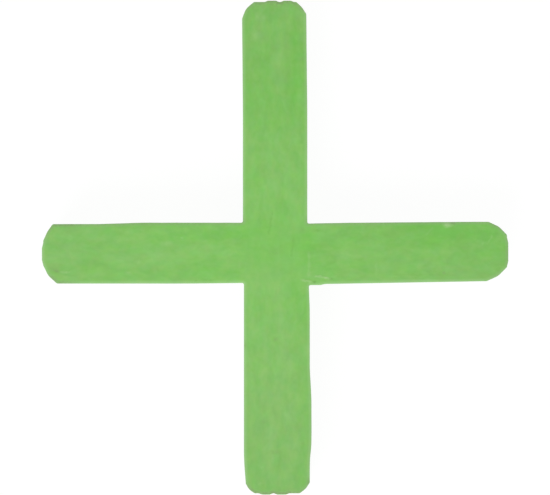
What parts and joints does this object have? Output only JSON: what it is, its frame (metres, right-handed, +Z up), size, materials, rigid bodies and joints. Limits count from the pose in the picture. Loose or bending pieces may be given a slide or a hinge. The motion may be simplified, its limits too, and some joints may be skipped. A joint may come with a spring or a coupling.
{
  "type": "tile spacer",
  "caption": "Small flat plastic cross that keeps neighbouring tiles an even joint apart where their corners meet.",
  "frame": {"origin": "middle of the crossing, on the underside", "axes": "+Z up through the thickness; +X along the arm on the picture's right, +Y along the arm at the picture's top"},
  "size_m": [0.0233, 0.0247, 0.004],
  "materials": {
    "moulded_plastic": "satin"
  },
  "bodies": {
    "root": {"cross_spacer": "moulded_plastic"}
  },
  "joints": []
}
